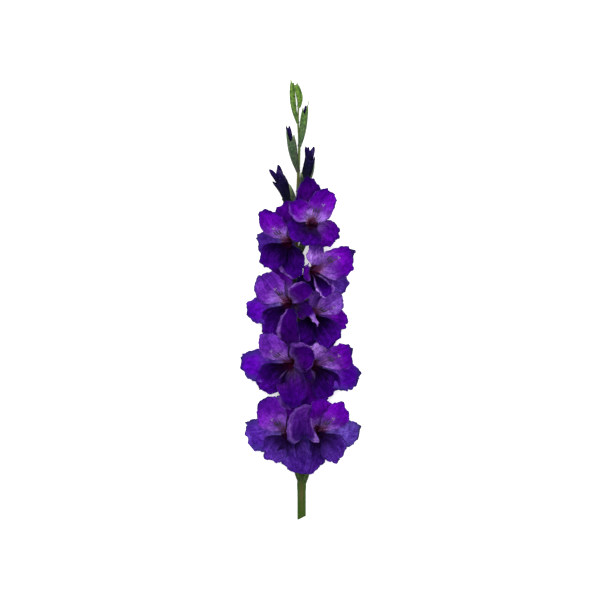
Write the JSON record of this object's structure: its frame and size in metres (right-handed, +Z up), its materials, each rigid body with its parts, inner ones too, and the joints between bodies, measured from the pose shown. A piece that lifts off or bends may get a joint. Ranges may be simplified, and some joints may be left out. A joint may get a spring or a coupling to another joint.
{
  "type": "cut gladiolus",
  "caption": "Cut spike of a gladiolus lying on its back: a straight stem with open ruffled blooms on two sides, tapering to furled buds in green bracts.",
  "frame": {"origin": "bottom centre of the bounding box, on the surface that the spike lies on", "axes": "+Y along the stem from its cut foot to the tip, +Z up from the surface, the way the open blooms face, +X to the viewer's right when seen from above with the tip away"},
  "size_m": [0.1682, 0.6185, 0.0779],
  "materials": {
    "stem": "smooth satin stem, olive green",
    "bract": "finely ribbed leaf, dull green",
    "tepal": "velvety petal, deep violet",
    "bud": "velvety petal, blackish violet",
    "stamen": "matt, dusky violet"
  },
  "bodies": {
    "root": {"stem": "stem", "bloom_1_perianth": "tepal", "bloom_1_stamens": "stamen", "bloom_1_bracts": "bract", "bloom_2_perianth": "tepal", "bloom_2_stamens": "stamen", "bloom_2_bracts": "bract", "bloom_3_perianth": "tepal", "bloom_3_stamens": "stamen", "bloom_3_bracts": "bract", "bloom_4_perianth": "tepal", "bloom_4_stamens": "stamen", "bloom_4_bracts": "bract", "bloom_5_perianth": "tepal", "bloom_5_stamens": "stamen", "bloom_5_bracts": "bract", "bloom_6_perianth": "tepal", "bloom_6_stamens": "stamen", "bloom_6_bracts": "bract", "bloom_7_perianth": "tepal", "bloom_7_stamens": "stamen", "bloom_7_bracts": "bract", "bloom_8_perianth": "tepal", "bloom_8_stamens": "stamen", "bloom_8_bracts": "bract", "bloom_9_perianth": "tepal", "bloom_9_stamens": "stamen", "bloom_9_bracts": "bract", "bud_1_petals": "bud", "bud_1_bracts": "bract", "bud_2_petals": "bud", "bud_2_bracts": "bract", "bud_3_petals": "bud", "bud_3_bracts": "bract", "bud_4_petals": "bud", "bud_4_bracts": "bract", "bud_5_petals": "bud", "bud_5_bracts": "bract", "bud_6_petals": "bud", "bud_6_bracts": "bract"}
  },
  "joints": []
}
